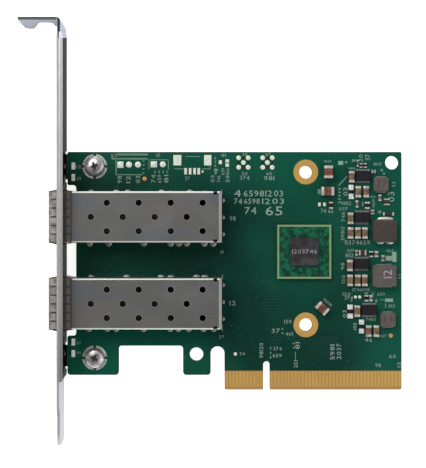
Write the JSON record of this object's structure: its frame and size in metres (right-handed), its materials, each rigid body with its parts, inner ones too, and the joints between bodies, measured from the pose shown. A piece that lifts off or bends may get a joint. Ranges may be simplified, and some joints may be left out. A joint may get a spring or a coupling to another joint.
{
  "type": "network interface card",
  "caption": "Low-profile server network card with plug-in port cages, a bare network processor, a power section and a full-height steel bracket.",
  "frame": {"origin": "middle of the edge connector's key notch, on the mating edge and on the component face of the board", "axes": "+X runs along the mating edge away from the bracket, +Y up the card from the edge connector, +Z out of the component face"},
  "size_m": [0.1092, 0.1201, 0.0184],
  "materials": {
    "board": "green solder mask over glass-epoxy laminate",
    "gold_plating": "hard gold plating",
    "tinned_pads": "tinned copper",
    "bracket_steel": "satin zinc-plated steel",
    "screw_steel": "bright zinc-plated steel",
    "cage_steel": "dull nickel-plated sheet",
    "spring_steel": "bright spring sheet",
    "connector_plastic": "black moulded plastic",
    "contact_metal": "gold-flashed contact strip",
    "light_plastic": "clear moulded resin over a white base",
    "chip_substrate": "green package laminate",
    "chip_silicon": "bare silicon, dark grey",
    "solder": "bright solder and tinned leads",
    "moulded_black": "black moulding compound",
    "inductor_core": "pressed grey powder core",
    "inductor_ferrite": "pressed light grey powder core",
    "resistor_body": "dark red glaze on ceramic",
    "capacitor_ceramic": "brown fired ceramic"
  },
  "bodies": {
    "root": {"big_capacitor_1": "capacitor_ceramic", "big_capacitor_2": "capacitor_ceramic", "big_capacitor_3": "capacitor_ceramic", "bracket": "bracket_steel", "capacitor_1": "capacitor_ceramic", "capacitor_10": "capacitor_ceramic", "capacitor_11": "capacitor_ceramic", "capacitor_12": "capacitor_ceramic", "capacitor_13": "capacitor_ceramic", "capacitor_14": "capacitor_ceramic", "capacitor_2": "capacitor_ceramic", "capacitor_3": "capacitor_ceramic", "capacitor_4": "capacitor_ceramic", "capacitor_5": "capacitor_ceramic", "capacitor_6": "capacitor_ceramic", "capacitor_7": "capacitor_ceramic", "capacitor_8": "capacitor_ceramic", "capacitor_9": "capacitor_ceramic", "chip_die": "chip_silicon", "chip_solder_balls": "solder", "chip_substrate": "chip_substrate", "circuit_board": "board", "decoupling_capacitors": "capacitor_ceramic", "edge_contacts_back": "gold_plating", "edge_contacts_front": "gold_plating", "heatsink_hole_rings": "gold_plating", "inductor_1": "inductor_core", "inductor_1_terminals": "solder", "inductor_2": "inductor_core", "inductor_2_terminals": "solder", "inductor_3": "inductor_core", "inductor_3_terminals": "solder", "inductor_4": "inductor_ferrite", "inductor_4_terminals": "solder", "lower_bracket_screw": "screw_steel", "lower_cage_base": "cage_steel", "lower_cage_shell": "cage_steel", "lower_port_connector": "connector_plastic", "lower_port_contacts": "contact_metal", "lower_port_lights": "light_plastic", "lower_spring_collar": "spring_steel", "regulator_1": "moulded_black", "regulator_1_leads": "solder", "regulator_2": "moulded_black", "regulator_2_leads": "solder", "regulator_3": "moulded_black", "regulator_3_leads": "solder", "regulator_4": "moulded_black", "regulator_4_leads": "solder", "resistor": "resistor_body", "screw_ground_pads": "tinned_pads", "upper_bracket_screw": "screw_steel", "upper_cage_base": "cage_steel", "upper_cage_shell": "cage_steel", "upper_port_connector": "connector_plastic", "upper_port_contacts": "contact_metal", "upper_port_lights": "light_plastic", "upper_spring_collar": "spring_steel"}
  },
  "joints": []
}
